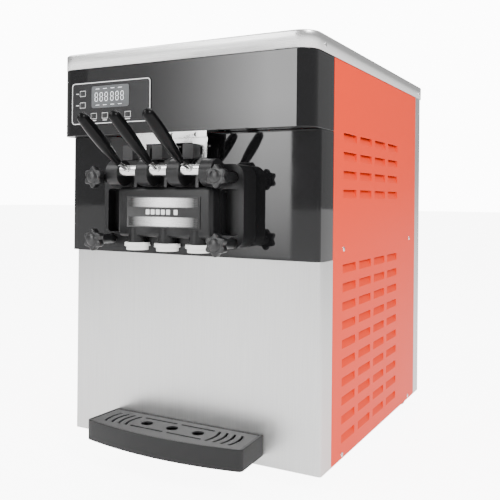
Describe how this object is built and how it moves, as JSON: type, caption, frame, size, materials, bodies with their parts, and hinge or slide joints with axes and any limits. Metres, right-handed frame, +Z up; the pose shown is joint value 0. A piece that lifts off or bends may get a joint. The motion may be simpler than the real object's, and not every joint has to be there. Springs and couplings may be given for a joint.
{
  "type": "soft serve machine",
  "caption": "Countertop soft serve machine: twin hoppers over freezing cylinders, a dispensing head with draw levers and a twist nozzle, a drip tray and louvred side panels.",
  "frame": {"origin": "on the floor under the middle of the whole machine, levers and cord gland included", "axes": "+X to the right of someone standing in front of it, +Y to its rear, +Z up"},
  "size_m": [0.5484, 0.8838, 0.806],
  "materials": {
    "orange_paint": "smooth powder coat",
    "brushed_steel": "vertically brushed stainless sheet",
    "gloss_black_sheet": "mirror gloss black",
    "black_moulding": "fine satin",
    "tray_plastic": "satin black",
    "grid_plastic": "dark grey",
    "nozzle_plastic": "white",
    "bright_steel": "bright satin",
    "frame_steel": "galvanised",
    "rubber": "matte",
    "panel_film": "gloss film with a white outline",
    "display": "backlit display",
    "keys": "printed keys",
    "plate_foil": "brushed foil",
    "black_parts": "black",
    "cast_black": "painted black",
    "fins": "finned"
  },
  "bodies": {
    "cabinet": {"base_pan": "frame_steel", "frame_posts": "frame_steel", "rubber_feet": "rubber", "front_panel": "brushed_steel", "dispenser_fascia": "gloss_black_sheet", "upper_hood": "gloss_black_sheet", "side_panel_left": "orange_paint", "side_panel_right": "orange_paint", "rear_panel": "brushed_steel", "top_cover": "brushed_steel", "cabinet_screws": "bright_steel", "cable_gland": "black_parts", "control_panel": "panel_film", "display_window": "display", "dispensing_head": "black_moulding", "name_plate": "plate_foil", "lever_pivot_pin": "bright_steel", "door_gaskets": "rubber", "nozzle_caps": "nozzle_plastic", "door_studs": "bright_steel", "switch_bracket": "bright_steel", "microswitches": "black_parts", "freezing_cylinders": "bright_steel", "gear_reducers": "cast_black", "drive_belt": "rubber", "drive_motor": "cast_black", "compressor": "cast_black", "condenser": "fins", "fan_motor": "frame_steel", "twin_hopper": "bright_steel", "feed_tubes": "bright_steel"},
    "lever_left": {"lever_handle_left": "black_moulding", "lever_hub_left": "bright_steel"},
    "plunger_left": {"draw_plunger_left": "bright_steel"},
    "lever_middle": {"lever_handle_middle": "black_moulding", "lever_hub_middle": "bright_steel"},
    "plunger_middle": {"draw_plunger_middle": "bright_steel"},
    "lever_right": {"lever_handle_right": "black_moulding", "lever_hub_right": "bright_steel"},
    "plunger_right": {"draw_plunger_right": "bright_steel"},
    "knob_left_upper": {"star_knob_left_upper": "black_moulding"},
    "knob_left_lower": {"star_knob_left_lower": "black_moulding"},
    "knob_right_upper": {"star_knob_right_upper": "black_moulding"},
    "knob_right_lower": {"star_knob_right_lower": "black_moulding"},
    "hopper_lid_left": {"hopper_lid_left": "bright_steel"},
    "hopper_lid_right": {"hopper_lid_right": "bright_steel"},
    "tray": {"drip_tray": "tray_plastic"},
    "tray_grid": {"drip_grid": "grid_plastic"},
    "driven_pulley_left": {"driven_pulley_left": "cast_black"},
    "beater_left": {"beater_left": "bright_steel"},
    "driven_pulley_right": {"driven_pulley_right": "cast_black"},
    "beater_right": {"beater_right": "bright_steel"},
    "motor_pulley": {"motor_pulley": "cast_black"},
    "fan": {"fan_blade": "black_parts"},
    "button_upper": {"button_upper": "keys"},
    "button_lower": {"button_lower": "keys"},
    "button_row_1": {"button_row_1": "keys"},
    "button_row_2": {"button_row_2": "keys"},
    "button_row_3": {"button_row_3": "keys"},
    "button_row_4": {"button_row_4": "keys"}
  },
  "joints": [
    {"name": "lever_left_pull", "type": "hinge", "parent": "cabinet", "child": "lever_left", "pos_m": [-0.066, -0.30412, 0.549], "axis": [1, 0, 0], "range_deg": [0, 50]},
    {"name": "plunger_left_lift", "type": "slide", "parent": "cabinet", "child": "plunger_left", "axis": [0, 0, 1], "range_m": [0, 0.0187]},
    {"name": "lever_middle_pull", "type": "hinge", "parent": "cabinet", "child": "lever_middle", "pos_m": [0, -0.30412, 0.549], "axis": [1, 0, 0], "range_deg": [0, 50]},
    {"name": "plunger_middle_lift", "type": "slide", "parent": "cabinet", "child": "plunger_middle", "axis": [0, 0, 1], "range_m": [0, 0.0187]},
    {"name": "lever_right_pull", "type": "hinge", "parent": "cabinet", "child": "lever_right", "pos_m": [0.066, -0.30412, 0.549], "axis": [1, 0, 0], "range_deg": [0, 50]},
    {"name": "plunger_right_lift", "type": "slide", "parent": "cabinet", "child": "plunger_right", "axis": [0, 0, 1], "range_m": [0, 0.0187]},
    {"name": "knob_left_upper_turn", "type": "hinge", "parent": "cabinet", "child": "knob_left_upper", "pos_m": [-0.129, -0.31412, 0.537], "axis": [0, 1, 0], "continuous": true},
    {"name": "knob_left_lower_turn", "type": "hinge", "parent": "cabinet", "child": "knob_left_lower", "pos_m": [-0.129, -0.31412, 0.424], "axis": [0, 1, 0], "continuous": true},
    {"name": "knob_right_upper_turn", "type": "hinge", "parent": "cabinet", "child": "knob_right_upper", "pos_m": [0.129, -0.31412, 0.537], "axis": [0, 1, 0], "continuous": true},
    {"name": "knob_right_lower_turn", "type": "hinge", "parent": "cabinet", "child": "knob_right_lower", "pos_m": [0.129, -0.31412, 0.424], "axis": [0, 1, 0], "continuous": true},
    {"name": "hopper_lid_left_lift", "type": "slide", "parent": "cabinet", "child": "hopper_lid_left", "axis": [0, 0, 1], "range_m": [0, 0.15]},
    {"name": "hopper_lid_right_lift", "type": "slide", "parent": "cabinet", "child": "hopper_lid_right", "axis": [0, 0, 1], "range_m": [0, 0.15]},
    {"name": "tray_pull", "type": "slide", "parent": "cabinet", "child": "tray", "axis": [0, -1, 0], "range_m": [0, 0.12]},
    {"name": "grid_lift", "type": "slide", "parent": "tray", "child": "tray_grid", "axis": [0, 0, 1], "range_m": [0, 0.06]},
    {"name": "driven_pulley_left_spin", "type": "hinge", "parent": "cabinet", "child": "driven_pulley_left", "pos_m": [-0.066, 0, 0.48], "axis": [0, 1, 0], "continuous": true},
    {"name": "beater_left_spin", "type": "hinge", "parent": "cabinet", "child": "beater_left", "pos_m": [-0.066, 0, 0.48], "axis": [0, 1, 0], "continuous": true},
    {"name": "driven_pulley_right_spin", "type": "hinge", "parent": "cabinet", "child": "driven_pulley_right", "pos_m": [0.066, 0, 0.48], "axis": [0, 1, 0], "continuous": true},
    {"name": "beater_right_spin", "type": "hinge", "parent": "cabinet", "child": "beater_right", "pos_m": [0.066, 0, 0.48], "axis": [0, 1, 0], "continuous": true},
    {"name": "motor_pulley_spin", "type": "hinge", "parent": "cabinet", "child": "motor_pulley", "pos_m": [0, 0, 0.33], "axis": [0, 1, 0], "continuous": true},
    {"name": "fan_spin", "type": "hinge", "parent": "cabinet", "child": "fan", "pos_m": [0, 0.10588, 0.1985], "axis": [1, 0, 0], "continuous": true},
    {"name": "button_upper_press", "type": "slide", "parent": "cabinet", "child": "button_upper", "axis": [0, 1, 0], "range_m": [0, 0.0005], "stiffness_N_per_m": 400},
    {"name": "button_lower_press", "type": "slide", "parent": "cabinet", "child": "button_lower", "axis": [0, 1, 0], "range_m": [0, 0.0005], "stiffness_N_per_m": 400},
    {"name": "button_row_1_press", "type": "slide", "parent": "cabinet", "child": "button_row_1", "axis": [0, 1, 0], "range_m": [0, 0.0005], "stiffness_N_per_m": 400},
    {"name": "button_row_2_press", "type": "slide", "parent": "cabinet", "child": "button_row_2", "axis": [0, 1, 0], "range_m": [0, 0.0005], "stiffness_N_per_m": 400},
    {"name": "button_row_3_press", "type": "slide", "parent": "cabinet", "child": "button_row_3", "axis": [0, 1, 0], "range_m": [0, 0.0005], "stiffness_N_per_m": 400},
    {"name": "button_row_4_press", "type": "slide", "parent": "cabinet", "child": "button_row_4", "axis": [0, 1, 0], "range_m": [0, 0.0005], "stiffness_N_per_m": 400}
  ],
  "couplings": [
    {"joint": "plunger_left_lift", "follows": "lever_left_pull", "m_per_rad": 0.02131},
    {"joint": "plunger_middle_lift", "follows": "lever_middle_pull", "m_per_rad": 0.02131},
    {"joint": "plunger_right_lift", "follows": "lever_right_pull", "m_per_rad": 0.02131},
    {"joint": "beater_left_spin", "follows": "driven_pulley_left_spin", "ratio": 0.2},
    {"joint": "beater_right_spin", "follows": "driven_pulley_left_spin", "ratio": 0.2},
    {"joint": "driven_pulley_right_spin", "follows": "driven_pulley_left_spin", "ratio": 1},
    {"joint": "motor_pulley_spin", "follows": "driven_pulley_left_spin", "ratio": 2.2727}
  ]
}
